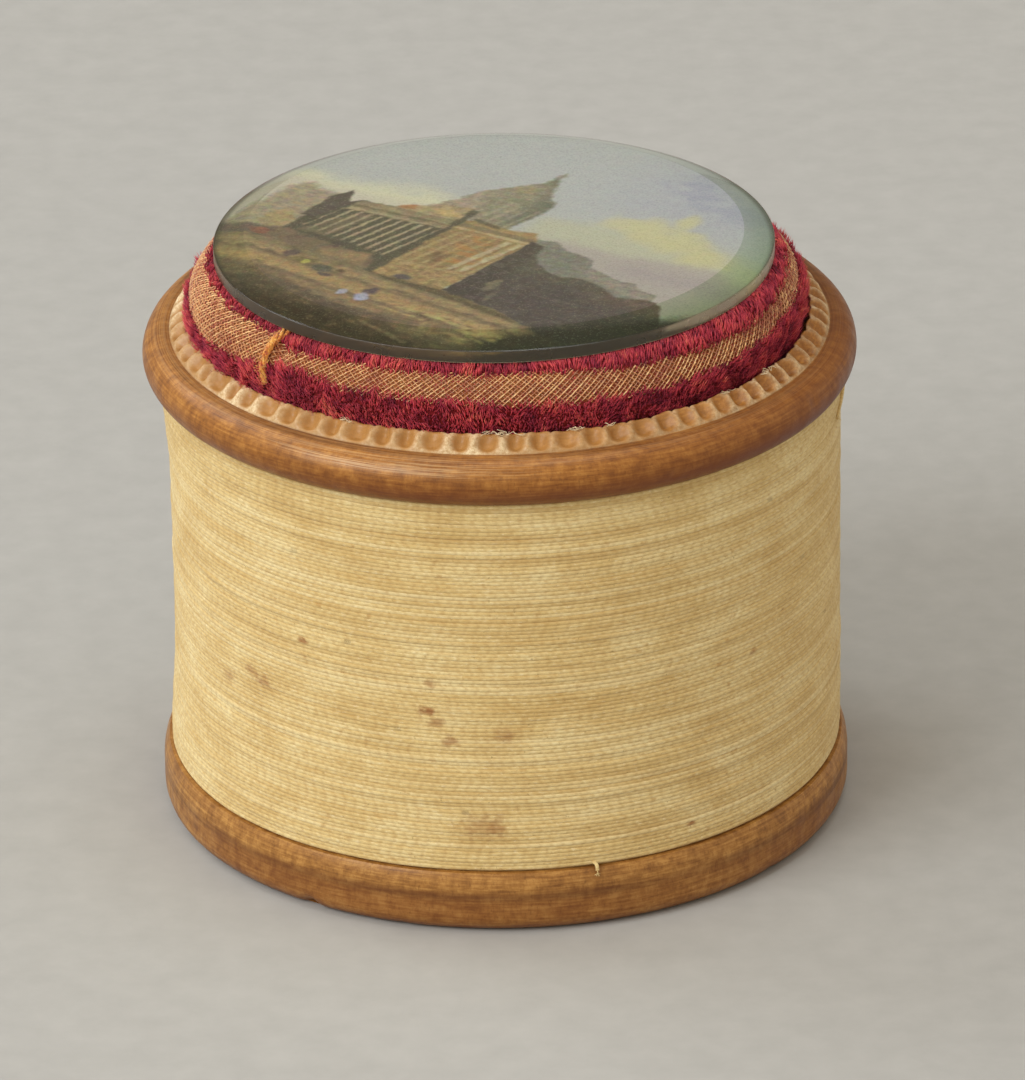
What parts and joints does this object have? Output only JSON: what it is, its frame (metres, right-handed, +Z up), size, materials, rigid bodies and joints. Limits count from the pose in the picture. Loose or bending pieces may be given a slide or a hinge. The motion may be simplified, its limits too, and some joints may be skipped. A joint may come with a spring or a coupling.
{
  "type": "thread reel pincushion",
  "caption": "Turned wooden thread reel, fully wound, with a lift-out velvet pincushion and a bevelled glass picture disc in its top.",
  "frame": {"origin": "centre of the underside of the base flange, on the surface that the reel stands on", "axes": "+Z up along the reel's axis, out of the spindle bore's blind end; -Y towards the front, where the velvet's join is to the left of centre"},
  "size_m": [0.07, 0.07, 0.0597],
  "materials": {
    "fruitwood": "worn shellac on turned fruitwood",
    "barrel_wood": "bare turned wood",
    "linen_thread": "aged cream thread, tightly wound",
    "grey_card": "matt pasteboard",
    "wool": "loose wool wadding",
    "crimson_velvet": "crimson silk pile, worn to a gold ground",
    "white_thread": "bleached linen thread",
    "gold_silk": "gold silk selvedge",
    "white_card": "matt pasteboard",
    "painted_paper": "colour-printed paper",
    "glass": "clear polished glass with a faint green edge"
  },
  "bodies": {
    "reel": {"base_flange": "fruitwood", "barrel": "barrel_wood", "top_flange": "fruitwood", "thread_winding": "linen_thread"},
    "cushion_top": {"backing_card": "grey_card", "stuffing": "wool", "velvet_cover": "crimson_velvet", "draw_thread": "white_thread", "cover_join": "gold_silk", "mount_card": "white_card", "picture_print": "painted_paper", "glass_disc": "glass"}
  },
  "joints": [
    {"name": "cushion_lift", "type": "slide", "parent": "reel", "child": "cushion_top", "axis": [0, 0, 1], "range_m": [0, 0.015]}
  ]
}
